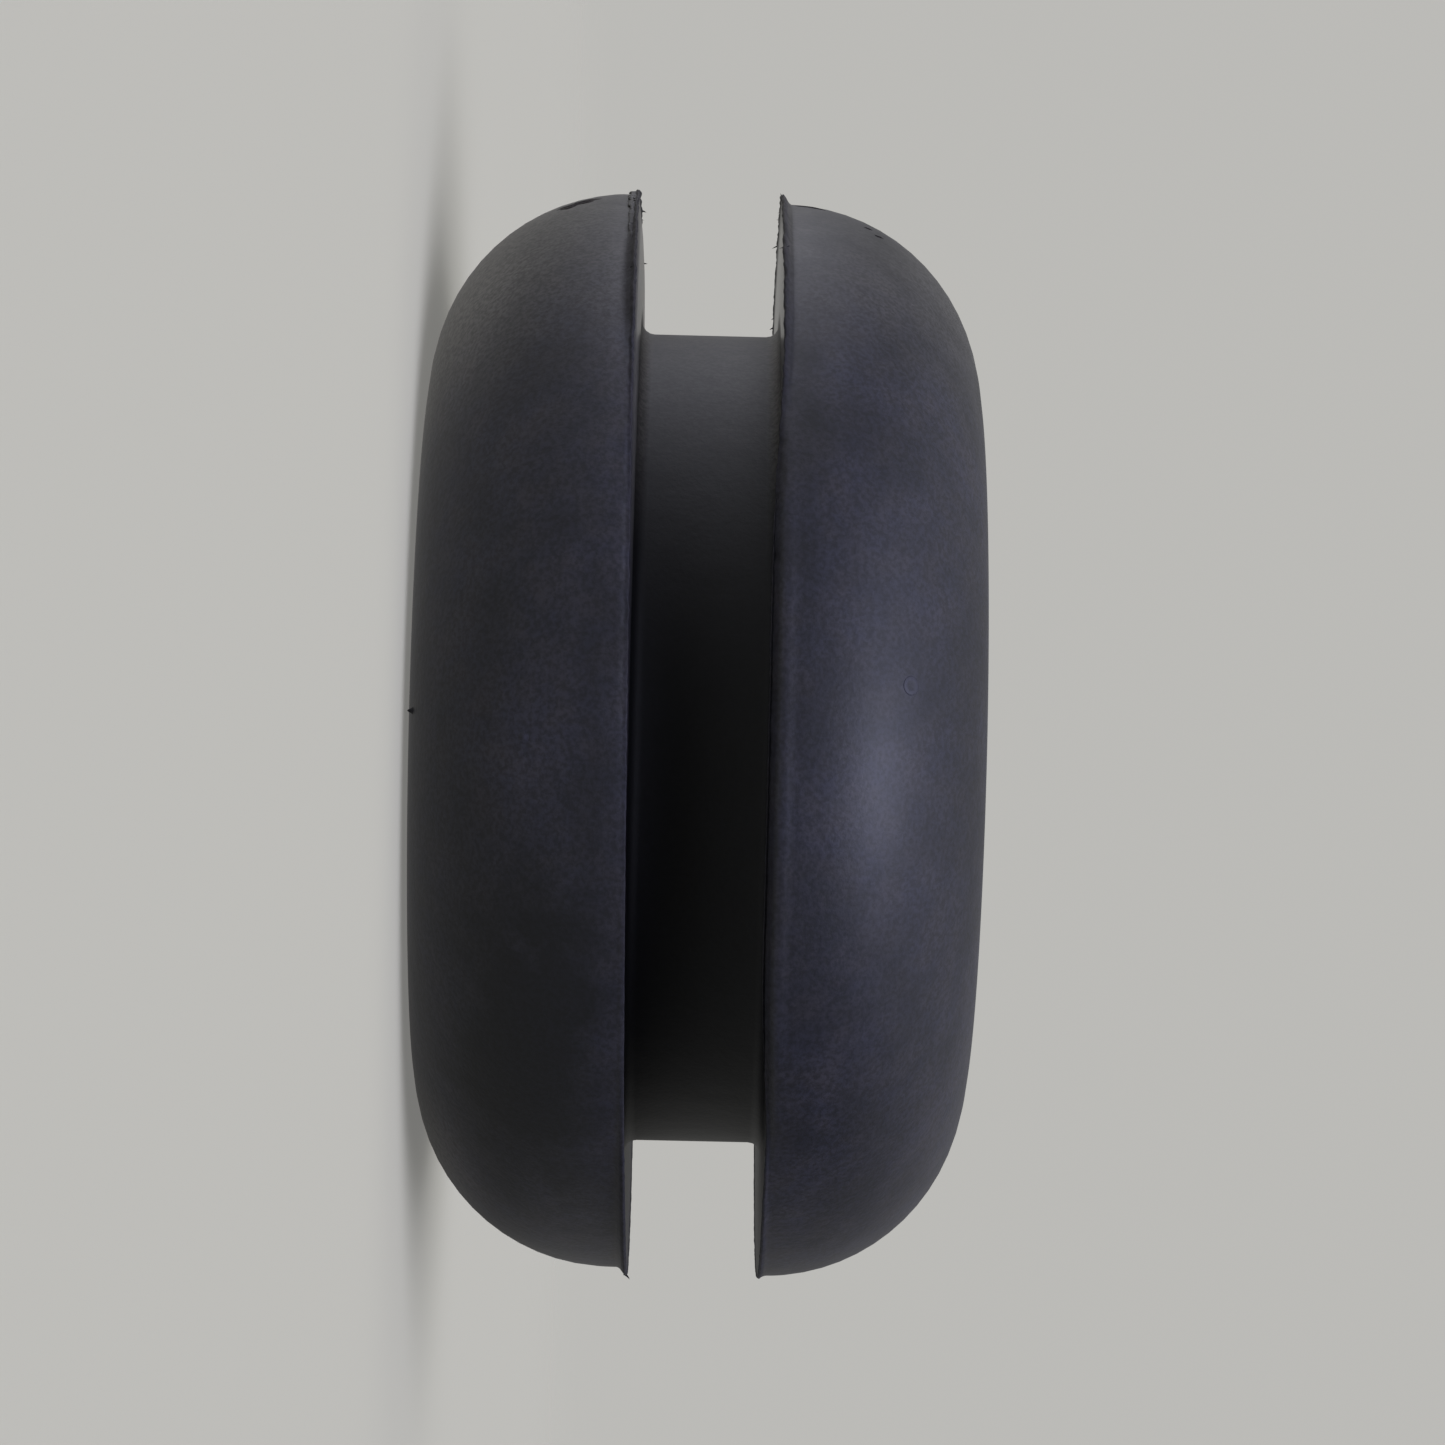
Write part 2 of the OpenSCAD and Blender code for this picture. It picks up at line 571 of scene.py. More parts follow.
# %% The film of wax
def film_group():
    """Soft clouds and finer wisps, each from 0 to 1."""
    tree, given = new_group("Wax film", "ShaderNodeTree",
                            {"Place": "Vector", "Cloud Size": "Float", "Wisp Size": "Float"},
                            {"Cloud": "Float", "Wisp": "Float"})
    cloud = noise(tree, given["Place"], given["Cloud Size"], 3.0, Roughness=0.55, Distortion=0.4)[0]
    wisp = noise(tree, given["Place"], given["Wisp Size"], 4.0, Roughness=0.6)[0]
    add(tree, "NodeGroupOutput", {0: rise(tree, cloud, 0.3, 0.7), 1: rise(tree, wisp, 0.3, 0.7)})
    return tree


# %% A soft spot
def spot_group():
    """1 at the centre, and fading to 0 where the reach ends."""
    tree, given = new_group("Soft spot", "ShaderNodeTree",
                            {"Place": "Vector", "Centre": "Vector", "Reach": "Vector"}, {"Mask": "Float"})
    off = vector_calc(tree, "SUBTRACT", given["Place"], given["Centre"])
    far = length(tree, vector_calc(tree, "DIVIDE", off, given["Reach"]))
    add(tree, "NodeGroupOutput", {0: fade(tree, far, 0.0, 1.0)})
    return tree


blasted_grain = grain_group()
wax_film = film_group()
soft_spot = spot_group()
print("groups:", blasted_grain.name, wax_film.name, soft_spot.name)


# %% Placing the groups in a material
def new_material(name):
    """An empty material, its node tree, and the Object coordinates in it."""
    material = bpy.data.materials.new(name)
    material.use_nodes = True
    material.node_tree.nodes.clear()
    return material, material.node_tree, add(material.node_tree, "ShaderNodeTexCoord").outputs["Object"]


def placed(tree, group, place, **sizes):
    """The outputs of a group at a place, with its other inputs given as numbers or vectors."""
    node = add(tree, "ShaderNodeGroup", node_tree=group)
    put(tree, node.inputs["Place"], place)
    for name, value in sizes.items():
        node.inputs[name.replace("_", " ")].default_value = value
    return node.outputs


def spot(tree, place, centre, reach):
    """A soft spot round a point, both given in mm."""
    return placed(tree, soft_spot, place, Centre=Vector(centre) * MM, Reach=Vector(reach) * MM)["Mask"]


# %% [markdown]
# ## The colour of the skin
#
# Under the film the rubber is nearly black. The film is a layer everywhere, with clouds and
# wisps in it, thicker in some places and thinner in others, and those places are soft spots. Some
# of the spots are painted light and shade: a painted highlight on each flange, painted shade low on
# the lower flange and painted reflections on its rims. The film turns paler and warmer on the side
# towards the window (-X), which is painted light, and a paler colour on one rim is a painted reflection.

# %% Colours of the skin
clean_black = (0.0026, 0.0028, 0.0048, 1)
full_film = (0.0235, 0.0243, 0.0410, 1)
brown_film = (0.0265, 0.0245, 0.0330, 1)
# the film's colour where it faces the window: paler and warmer, which is painted light
painted_window_light = (0.052, 0.050, 0.047, 1)
# a paler colour on the far rim of the lower flange: a painted reflection
painted_rim_reflection = (0.14, 0.135, 0.128, 1)
# how thick the film is: the thinnest layer, and what the clouds and the wisps add to it
thinnest_film = 0.2
cloud_share = 0.36
wisp_share = 0.16
# where the film lies thicker (+) or thinner (-), some of them painted highlights, painted shade and
# painted reflections: centre and reach in mm, and amount
film_and_painted_light_spots = {
    # a painted highlight on the lower flange
    "lower flange, painted highlight": ((0.7, -12.0, -3.7), (2.6, 3.0, 1.7), 0.4),
    # painted shade low on the lower flange
    "lower flange, painted shade": ((7.5, -9.5, -3.7), (6.5, 6.0, 2.6), -0.7),
    "lower flange, by the lip": ((1.0, -12.4, -2.1), (9.0, 4.0, 0.75), -0.22),
    # more painted shade low on the lower flange
    "lower flange, more painted shade": ((5.5, -11.3, -2.8), (4.0, 4.0, 1.2), -0.3),
    # painted reflections on both rims of the lower flange, and painted light on its window side
    "lower flange, painted reflection on the upper rim": ((-8.8, -5.3, -5.5), (4.5, 5.5, 2.2), 0.65),
    "lower flange, painted reflection on the lower rim": ((9.9, -3.2, -5.5), (3.2, 5.0, 1.8), 0.6),
    "lower flange, painted light on the window side": ((-12.2, -1.5, -3.8), (2.2, 6.0, 2.8), 0.5),
    # a painted highlight on the upper flange
    "upper flange, painted highlight": ((1.0, -12.2, 3.5), (2.6, 3.0, 1.6), 0.3),
    "upper flange, topside": ((-11.5, -3.0, 3.4), (2.6, 5.0, 2.4), -0.25),
    "upper flange, by the lip": ((-7.0, -10.0, 2.2), (7.0, 5.0, 0.8), -0.3),
}
# a paler colour painted on the far rim of the lower flange, a painted reflection: centre and reach in mm,
# and how much
rim_reflection_spots = {
    "above": ((-9.6, -4.0, -5.9), (7.0, 7.0, 4.0), 0.55),
    "below": ((9.6, -3.2, -6.0), (3.6, 5.0, 1.8), 0.5),
}


def filmed_colour(tree, place, film, facing_window):
    """Black rubber under its film of wax, with painted light, shade, highlights and reflections."""
    amount = calc(tree, "MULTIPLY_ADD", film["Cloud"], cloud_share, thinnest_film)
    amount = calc(tree, "MULTIPLY_ADD", film["Wisp"], wisp_share, amount)
    for centre, reach, extra in film_and_painted_light_spots.values():
        amount = calc(tree, "MULTIPLY_ADD", spot(tree, place, centre, reach), extra, amount)
    amount = calc(tree, "MAXIMUM", amount, 0.0)
    tint = mixed(tree, film["Wisp"], full_film, brown_film)
    # on the side towards the window (-X) the film is painted paler and warmer: painted light
    tint = mixed(tree, rise(tree, facing_window, 0.6, 1.0), tint, painted_window_light)
    colour = mixed(tree, amount, clean_black, tint)
    # the paler colour on the rims is a painted reflection
    for centre, reach, share in rim_reflection_spots.values():
        colour = mixed(tree, product(tree, spot(tree, place, centre, reach), share), colour, painted_rim_reflection)
    return colour


# %% Colours of the groove
# the groove's floor is painted darker than clean rubber, which is painted shade; on the window side (-X) its
# floor, corners and walls are painted lighter, which is painted light
groove_painted_shade = (0.0008, 0.0009, 0.0018, 1)
painted_groove_light = (0.031, 0.030, 0.029, 1)
wall_black = (0.0100, 0.0100, 0.0130, 1)
painted_wall_light = (0.085, 0.082, 0.078, 1)
# painted light in the groove's corners, on the window side, reaches this far from the walls
corner_light_reach = 0.35 * MM
corner_light_full = 0.05 * MM


def groove_colour(tree, film, height, on_wall, facing_window):
    """Painted darker than clean rubber (painted shade), with painted light on its floor, corners and walls
    on the window side.
    """
    broken = calc(tree, "MULTIPLY_ADD", film["Wisp"], 0.4, 0.65)
    floor = mixed(tree, product(tree, rise(tree, facing_window, 0.6, 1.0), broken), groove_painted_shade, painted_groove_light)
    off_middle = calc(tree, "ABSOLUTE", calc(tree, "SUBTRACT", height, groove_middle))
    in_corner = rise(tree, off_middle, wall_z - corner_light_reach, wall_z - corner_light_full)
    light_in_corner = product(tree, in_corner, rise(tree, facing_window, 0.4, 0.9))
    floor = mixed(tree, light_in_corner, floor, painted_wall_light)
    walls = mixed(tree, product(tree, rise(tree, facing_window, 0.15, 0.8), broken), wall_black, painted_wall_light)
    return mixed(tree, on_wall, floor, walls)


# %% [markdown]
# ## Torn rubber, a blister and the shine
#
# Freshly torn rubber has no film, so it is darker and rougher: along the lips, and in a whole
# patch beside the lower one. The rim of the blister is painted lighter, a painted highlight. The
# skin shines a little more where it is worn, and the panel has rubbed the groove's walls smooth on
# one side. Both are small changes of roughness, which the eye sees as wider or narrower lights.

# %% Torn places and the blister
torn_black = (0.0035, 0.0012, 0.0028, 1)
# the patch of torn rubber, the blister and the worn place: centre and reach in mm
torn_spot = ((-10.3, -7.3, -1.64), (3.2, 8.0, 0.38))
blister_spot = ((-1.22, -11.6, 4.5), (0.32, 0.32, 0.32))
worn_spot = ((1.0, -12.0, 3.7), (3.6, 3.4, 2.0))
# how much of the film is gone from the lips and from the patch
lip_torn = 0.25
patch_torn = 0.42
# how strongly the blister's rim is painted with the film's colour: a painted highlight
blister_highlight = 0.8


def torn_patch(tree, place, film, groove):
    """The patch of torn rubber, ragged where the wisps are, and not in the groove."""
    ragged = product(tree, spot(tree, place, *torn_spot), fade(tree, film["Wisp"], 0.2, 0.5, 0.6, 1.0))
    return product(tree, rise(tree, ragged, 0.0, 0.75), calc(tree, "SUBTRACT", 1.0, groove))


def blister_rim_highlight(tree, place):
    """The painted highlight on the rim of the blister: halfway out from its middle."""
    inside = spot(tree, place, *blister_spot)
    rim = product(tree, inside, calc(tree, "SUBTRACT", 1.0, inside))
    return product(tree, calc(tree, "POWER", product(tree, rim, 4.0), 3.0), blister_highlight)


# %% The shine
skin_roughness = 0.58
worn_shine = -0.11
wall_roughness = 0.6
rubbed_shine = -0.3
torn_dullness = 0.25


def shine(tree, place, groove, on_wall, facing_window, torn):
    """The roughness of the skin, the groove and the torn places."""
    skin = calc(tree, "MULTIPLY_ADD", spot(tree, place, *worn_spot), worn_shine, skin_roughness)
    rubbed = product(tree, on_wall, rise(tree, facing_window, -0.3, 0.3))
    walls = calc(tree, "MULTIPLY_ADD", rubbed, rubbed_shine, wall_roughness)
    either = add(tree, "ShaderNodeMix", {0: groove, 2: skin, 3: walls}, label="groove roughness")
    return calc(tree, "MULTIPLY_ADD", torn, torn_dullness, either.outputs[0])


# %% [markdown]
# ## The rubber
#
# One material joins it all. The lathe's attributes say where the lips, their corners and the
# groove are, and the distance from the axis and the height of a point say the rest. The shader
# gets a colour, a roughness and a bump. Everything else is the same all over, so it is set on
# the shader's own inputs.

# %% The rubber
skin_grain = 0.11 * MM
skin_swell = 0.8 * MM
skin_relief = 0.006 * MM
cloud_size = 2.4 * MM
wisp_size = 0.7 * MM
# how far out from the groove's floor its walls begin, and where they count in full
wall_starts = 0.1 * MM
wall_is_full = 0.7 * MM


def rubber_material():
    """The moulded skin, with its film, its painted light and shade, its torn lips and its worn places."""
    material, tree, place = new_material("black_rubber")
    lip, groove, corner = (add(tree, "ShaderNodeAttribute", attribute_name=name).outputs["Fac"]
                           for name in ("lip", "groove", "corner"))
    grain = placed(tree, blasted_grain, place, Grain_Size=skin_grain, Swell_Size=skin_swell)
    film = placed(tree, wax_film, place, Cloud_Size=cloud_size, Wisp_Size=wisp_size)
    xyz = split(tree, place)
    radius = length(tree, joined(tree, X=xyz["X"], Y=xyz["Y"]))
    # how far a point faces -X, towards the window; the colours paint light on that side with it, and the
    # walls are smoother there
    facing_window = calc(tree, "DIVIDE", xyz["X"], product(tree, radius, -1.0))
    on_wall = rise(tree, radius, neck_r + wall_starts, neck_r + wall_is_full)

    colour = mixed(tree, groove, filmed_colour(tree, place, film, facing_window),
                   groove_colour(tree, film, xyz["Z"], on_wall, facing_window))
    patch = torn_patch(tree, place, film, groove)
    fresh = calc(tree, "MAXIMUM", product(tree, lip, lip_torn), product(tree, patch, patch_torn))
    colour = mixed(tree, fresh, colour, torn_black)
    # the grain breaks every tone up a little
    colour = scaled(tree, colour, calc(tree, "MULTIPLY_ADD", grain["Fleck"], 0.8, 0.6))
    # the blister's rim is painted lighter: a painted highlight
    colour = mixed(tree, blister_rim_highlight(tree, place), colour, full_film)
    torn = calc(tree, "MAXIMUM", corner, patch)
    bump = add(tree, "ShaderNodeBump", {"Height": grain["Height"], "Strength": 1.0, "Distance": skin_relief})
    skin = add(tree, "ShaderNodeBsdfPrincipled", {
        "Base Color": colour, "Roughness": shine(tree, place, groove, on_wall, facing_window, torn),
        "Normal": bump.outputs[0], "Specular IOR Level": 0.35, "Specular Tint": (0.95, 0.97, 1.0, 1)})
    add(tree, "ShaderNodeOutputMaterial", {"Surface": skin.outputs[0]})
    print(material.name, "has", len(tree.nodes), "nodes")
    return material


rubber = rubber_material()

# %% [markdown]
# ## The ring
#
# Now the lathe gets its sizes. The trim, the lean and the wear are given once for each lip,
# because no two lips are alike. Two directions say on which side the flash tore worst, and
# which side hands and panels have rubbed.

# %% The ring
ring_steps = 920
tear_reach = 0.3 * MM
tear_size = 0.3 * MM
tear_depth = 0.14 * MM
rough_side = (-0.96, -0.28, 0.0)
worn_side = (0.06, -0.998, 0.0)
upper_trim = Vector((-0.08, 0.04, 0.0)) * MM
lower_trim = Vector((-0.1, 0.02, 0.0)) * MM
upper_lean = Vector((0.0, -0.095, 0.0)) * MM
lower_lean = Vector((0.14, 0.0, 0.0)) * MM
upper_wear = Vector((0.3, 0.5, -0.12)) * MM
lower_wear = Vector((0.0, 0.4, 0.0)) * MM
lower_shift = -0.14 * MM
ring = bake(drawn_section, "grommet_ring", lathe, {
    "Steps": ring_steps, "Lip Radius": lip_r, "Wall Height": wall_z, "Groove Middle": groove_middle,
    "Tear Reach": tear_reach, "Tear Size": tear_size, "Tear Depth": tear_depth,
    "Upper Trim": upper_trim, "Lower Trim": lower_trim, "Rough Side": rough_side,
    "Upper Lean": upper_lean, "Lower Lean": lower_lean, "Bead Height": bead_h,
    "Upper Wear": upper_wear, "Lower Wear": lower_wear, "Worn Side": worn_side,
    "Lower Shift": lower_shift, "Sag": 0.04 * MM, "Seed": 3.0, "Material": rubber,
})
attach(ring, "root")
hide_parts("grommet")

# %% [markdown]
# ## Torn rubber on the lips
#
# When the two halves of the mould close, a film thinner than paper squeezes out between them.
# It is torn off afterwards and leaves shreds along both lips. One shred is drawn once, as a
# thin bent sliver, and a second tree sets copies of it round the lip. A random number decides
# which points of the circle keep one, so they crowd on the side where the flash tore badly.

# %% One shred
def shred_mesh(name, stations=5, sides=5):
    """A closed sliver of unit length along +Z that tapers to a point and bends to one side."""
    thickest, bend, sunk = 0.2, 0.35, 0.12
    verts = []
    for i in range(stations):
        t = i / stations
        thick = thickest * (1 - t) ** 0.6
        for j in range(sides):
            a = 2 * math.pi * j / sides
            verts.append((thick * math.cos(a) + bend * t * t, 0.5 * thick * math.sin(a), t - sunk))
    tip = len(verts)
    verts.append((bend, 0, 1 - sunk))
    faces = [tuple(reversed(range(sides)))]
    for i in range(stations - 1):
        for j in range(sides):
            k = (j + 1) % sides
            faces.append((i * sides + j, i * sides + k, (i + 1) * sides + k, (i + 1) * sides + j))
    last = (stations - 1) * sides
    faces += [(last + j, last + (j + 1) % sides, tip) for j in range(sides)]
    mesh = bpy.data.meshes.new(name)
    mesh.from_pydata(verts, [], faces)
    return mesh


# %% The shred tree
def random_vector(tree, seed, reach):
    """A random vector at each point, at most so far from nothing in X, Y and Z."""
    node = add(tree, "FunctionNodeRandomValue", {"Seed": seed}, data_type="FLOAT_VECTOR")
    node.inputs["Min"].default_value = (-reach, -reach, -reach)
    node.inputs["Max"].default_value = (reach, reach, reach)
    return node.outputs[0]


def shred_chance(tree, given, side):
    """How likely a shred is: most on the rough side, and none where the lip is worn."""
    crowded = fade(tree, dot(tree, side, given["Rough Side"]), -0.4, 1.0, 0.15, 1.0)
    unworn = fade(tree, dot(tree, side, given["Worn Side"]), 0.5, 0.7)
    return product(tree, given["Share"], crowded, unworn)


def shred_tree():
    """Shreds on points round a lip, each with its own size and heading."""
    tree, given = new_group(
        "Torn shreds", "GeometryNodeTree",
        {"Geometry": "Geometry", "Count": "Int", "Ring Radius": "Float", "Centre": "Vector",
         "Scatter": "Float", "Smallest": "Float", "Largest": "Float", "Share": "Float",
         "Lean": "Vector", "Tilt": "Vector", "Worn Side": "Vector", "Rough Side": "Vector",
         "Seed": "Int", "Material": "Material"},
        {"Geometry": "Geometry"})
    circle = add(tree, "GeometryNodeMeshCircle", {
        "Vertices": given["Count"], "Radius": given["Ring Radius"]})
    outwards = direction(tree, position(tree))
    # the side is kept with each point, because the points move before they are picked
    sided = add(tree, "GeometryNodeStoreNamedAttribute", {
        "Geometry": circle.outputs[0], "Name": "side", "Value": outwards,
    }, data_type="FLOAT_VECTOR", domain="POINT")
    side = add(tree, "GeometryNodeInputNamedAttribute", {"Name": "side"},
               data_type="FLOAT_VECTOR").outputs[0]
    # the circle is tilted as the lip is
    tilted = joined(tree, Z=dot(tree, outwards, given["Tilt"]))
    spread = scaled(tree, random_vector(tree, given["Seed"], 1), given["Scatter"])
    spread = vector_calc(tree, "ADD", spread, tilted)
    moved = add(tree, "GeometryNodeSetPosition", {
        "Geometry": sided.outputs[0], "Offset": vector_calc(tree, "ADD", spread, given["Centre"])})
    luck = add(tree, "FunctionNodeRandomValue", {"Seed": calc(tree, "ADD", given["Seed"], 1)},
               data_type="FLOAT").outputs[1]
    kept = calc(tree, "LESS_THAN", luck, shred_chance(tree, given, side))
    astray = random_vector(tree, calc(tree, "ADD", given["Seed"], 2), 0.7)
    heading = vector_calc(tree, "ADD", given["Lean"], scaled(tree, side, 0.3))
    facing = add(tree, "FunctionNodeAlignRotationToVector", {
        "Vector": vector_calc(tree, "ADD", heading, astray)}, axis="Z")
    size = add(tree, "FunctionNodeRandomValue", {
        "Seed": calc(tree, "ADD", given["Seed"], 3), 2: given["Smallest"], 3: given["Largest"],
    }, data_type="FLOAT").outputs[1]
    shreds = add(tree, "GeometryNodeInstanceOnPoints", {
        "Points": moved.outputs[0], "Selection": kept, "Instance": given["Geometry"],
        "Rotation": facing.outputs[0], "Scale": size})
    return finish_tree(tree, shreds.outputs[0], given["Material"])


shreds = shred_tree()

# %% Shreds on both lips
# the points round a lip, the share of them that keep a shred, and its smallest and largest size
shred_places = 190
shred_share = 0.22
smallest_shred = 0.07 * MM
largest_shred = 0.22 * MM
shred_scatter = 0.04 * MM
# how far inside the lip and behind the wall the shreds are rooted
root_inset = 0.05 * MM
root_depth = 0.06 * MM
# each lip's shreds: its trim and lean, the height of its wall, which way they point, and the seed
lip_shreds = {
    "upper_lip_shreds": (upper_trim, upper_lean, groove_middle + wall_z, -1, 47),
    "lower_lip_shreds": (lower_trim, lower_lean, groove_middle - wall_z, 1, 7),
}
for name, (trim, pull, wall, way, seed) in lip_shreds.items():
    piece = bake(new_object(name + "_source", shred_mesh(name + "_source")), name, shreds, {
        "Count": shred_places, "Ring Radius": lip_r - root_inset,
        "Centre": trim + Vector((0, 0, wall - root_depth * way)), "Scatter": shred_scatter,
        "Smallest": smallest_shred, "Largest": largest_shred, "Share": shred_share, "Lean": (0, 0, way),
        "Tilt": Vector((pull.x, 0, 0)), "Worn Side": worn_side, "Rough Side": rough_side,
        "Seed": seed, "Material": rubber})
    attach(piece, "root")

# %% [markdown]
# ## A strip of flash
#
# Where the flash tore badly, a ragged strip of it still clings to the lower lip. It is a curve
# with a flat profile swept along it: the arc follows the lip, its radius fades at both ends, and
# noise crumples it. It was moulded with the ring, so it has the same finish.

# %% The strip tree
# how fast the strip's width changes along it
ragged_scale = 14.0


def strip_tree():
    """A flat profile swept along the lip and crumpled."""
    tree, given = new_group(
        "Torn strip", "GeometryNodeTree",
        {"Geometry": "Geometry", "Stations": "Int", "Ring Radius": "Float", "Centre": "Vector",
         "Start": "Float", "Sweep": "Float", "Half Width": "Float", "Half Thickness": "Float",
         "Crumple Size": "Float", "Crumple": "Float", "Seed": "Float", "Material": "Material"},
        {"Geometry": "Geometry"})
    path = add(tree, "GeometryNodeCurveArc", {
        "Resolution": given["Stations"], "Radius": given["Ring Radius"],
        "Start Angle": given["Start"], "Sweep Angle": given["Sweep"]})
    upright = add(tree, "GeometryNodeSetCurveNormal", {"Curve": path.outputs["Curve"]}, mode="Z_UP")
    # ragged along its length, and gone at both ends
    along = add(tree, "GeometryNodeSplineParameter").outputs["Factor"]
    ends = calc(tree, "SQRT", calc(tree, "SINE", product(tree, along, math.pi)))
    ragged = add(tree, "ShaderNodeTexNoise", {
        "W": product(tree, along, given["Sweep"], ragged_scale), "Detail": 2.0, "Scale": 1.0},
        noise_dimensions="1D").outputs[0]
    height = product(tree, ends, fade(tree, ragged, 0.3, 0.65, 0.35, 1.0))
    sized = add(tree, "GeometryNodeSetCurveRadius", {"Curve": upright.outputs[0], "Radius": height})
    circle = add(tree, "GeometryNodeCurvePrimitiveCircle", {"Resolution": 14, "Radius": 1.0})
    flattened = add(tree, "GeometryNodeTransform", {
        "Geometry": circle.outputs[0],
        "Scale": joined(tree, X=given["Half Thickness"], Y=given["Half Width"], Z=1.0)})
    swept = add(tree, "GeometryNodeCurveToMesh", {
        "Curve": sized.outputs[0], "Profile Curve": flattened.outputs[0], "Fill Caps": True,
        "Scale": add(tree, "GeometryNodeInputRadius").outputs[0]})
    texture = noise(tree, position(tree), given["Crumple Size"], 2.0, given["Seed"])
    crumpled = wander(tree, texture, given["Crumple"])
    moved = add(tree, "GeometryNodeSetPosition", {
        "Geometry": swept.outputs[0], "Offset": vector_calc(tree, "ADD", crumpled, given["Centre"])})
    return finish_tree(tree, moved.outputs[0], given["Material"])


# %% The strip
# where it starts, as an azimuth with 0 at -Y, and how far it goes round, in degrees
strip_start = -104
strip_sweep = 44
stations_per_degree = 4.5
strip_inset = 0.07 * MM
strip_drop = 0.24 * MM
strip_source = new_object("strip_source", bpy.data.meshes.new("strip_source"))
strip = bake(strip_source, "lower_lip_strip", strip_tree(), {
    "Stations": int(strip_sweep * stations_per_degree), "Ring Radius": lip_r - strip_inset,
    "Centre": lower_trim + Vector((0, 0, groove_middle - wall_z - strip_drop)),
    "Start": math.radians(strip_start - 90), "Sweep": math.radians(strip_sweep),
    "Half Width": 0.14 * MM, "Half Thickness": 0.04 * MM, "Crumple Size": 0.16 * MM,
    "Crumple": 0.1 * MM, "Seed": 2.0, "Material": rubber})
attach(strip, "root")

# %% [markdown]
# ## Marks on the flanges
#
# A few larger marks are placed one by one, each where a real one would be: torn scars and nicks
# on the crowns, a blister from a bubble of trapped air, a small pimple and a nub. All of them are
# small shells that sit on the rubber, so one function draws them: a rounded cap whose height
# follows a formula. The torn ones have lost the mould's skin, so they are darker and rougher, and
# the dark of the large scar is also a painted shadow under a lifted flap.

# %% Torn rubber
# very dark: on the large scar it also stands for the shadow under a lifted flap, a painted shadow
torn_dark = (0.0035, 0.0020, 0.0030, 1)
torn_pale = (0.0160, 0.0110, 0.0130, 1)


def torn_material():
    """Rubber without the mould's skin."""
    material, tree, place = new_material("torn_rubber")
    grain = placed(tree, blasted_grain, place, Grain_Size=0.07 * MM, Swell_Size=0.2 * MM)
    bump = add(tree, "ShaderNodeBump", {"Height": grain["Height"], "Strength": 1.0, "Distance": 0.015 * MM})
    skin = add(tree, "ShaderNodeBsdfPrincipled", {
        "Base Color": mixed(tree, grain["Fleck"], torn_dark, torn_pale),
        "Roughness": fade(tree, grain["Fleck"], 0.0, 1.0, 0.75, 0.6),
        "Normal": bump.outputs[0], "Specular IOR Level": 0.1})
    add(tree, "ShaderNodeOutputMaterial", {"Surface": skin.outputs[0]})
    print(material.name, "has", len(tree.nodes), "nodes")
    return material


torn_rubber = torn_material()


# %% Placing something on a flange
def on_crown(azimuth, z):
    """The point and the outward normal of the crown at a height and an azimuth (0 faces the camera)."""
    crown_r, crown_z = crown_arc(wall_z + groove_middle if z > 0 else wall_z - groove_middle)
    rise_z = abs(z) - crown_z
    out = math.sqrt(crown_r ** 2 - rise_z ** 2)
    a = math.radians(azimuth)
    side = Vector((math.sin(a), -math.cos(a), 0))
    up = Vector((0, 0, math.copysign(1, z)))
    shift = Vector((lower_shift if z < 0 else 0, 0, 0))
    return side * (face_r + out) + up * abs(z) + shift, (side * out + up * rise_z).normalized()


# %% The points of a shell
mark_sides = 40
mark_rings = 8
# how far a mark's rim is sunk in the rubber, and how tightly the crown bends along the axis
mark_sunk = 0.08 * MM
crown_bend = 4.6 * MM


def shell_points(point, normal, size, turn, height, ragged):
    """A cap on the rubber, its rim sunk below the surface, and a point that closes its back."""
    along = (Vector((0, 0, 1)) - normal * normal.z).normalized()
    across = normal.cross(along)
    t = math.radians(turn)
    u = along * math.cos(t) + across * math.sin(t)
    v = normal.cross(u)
    half_length, half_width = size[0] * MM / 2, size[1] * MM / 2
    verts = [point + normal * height(0, 0)]
    for i in range(1, mark_rings + 1):
        for j in range(mark_sides):
            a = 2 * math.pi * j / mark_sides
            r = i / mark_rings
            waves = math.sin(2 * a + 1) + 0.6 * math.sin(5 * a) + 0.4 * math.sin(9 * a + 2)
            wide = r * (1 + ragged * waves)
            step = u * (half_length * wide * math.cos(a)) + v * (half_width * wide * math.sin(a))
            # the shell follows the crown, which falls away along the axis and less round it
            fall = step.dot(along) ** 2 / (2 * crown_bend) + step.dot(across) ** 2 / (2 * lip_r)
            verts.append(point + step + normal * (height(r, a) - fall))
    verts += [rim - normal * mark_sunk for rim in verts[-mark_sides:]]
    return verts + [point - normal * (mark_sunk + half_length ** 2 / 2 / crown_bend)]


# %% The faces of a shell
def shell_faces():
    """A fan in the middle, rows of quads down to the sunk rim, and a fan that closes the back."""
    sides = range(mark_sides)
    faces = [(0, 1 + j, 1 + (j + 1) % mark_sides) for j in sides]
    for i in range(mark_rings):
        first, second = 1 + i * mark_sides, 1 + (i + 1) * mark_sides
        for j in sides:
            k = (j + 1) % mark_sides
            faces.append((first + j, second + j, second + k, first + k))
    last = 1 + mark_rings * mark_sides
    back = last + mark_sides
    return faces + [(back, last + (j + 1) % mark_sides, last + j) for j in sides]


def mark(name, azimuth, z, size, turn, height, material, ragged):
    """A small closed shell on a crown: its size is its length (along the axis) and width in mm,
    and its height is a formula of the distance from its middle (0 to 1) and the angle round it.
    A ragged one has an uneven outline."""
    mesh = bpy.data.meshes.new(name)
    mesh.from_pydata(shell_points(*on_crown(azimuth, z), size, turn, height, ragged), [], shell_faces())
    mesh.shade_smooth()
    mesh.materials.append(material)
    piece = new_object(name, mesh)
    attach(piece, "root")


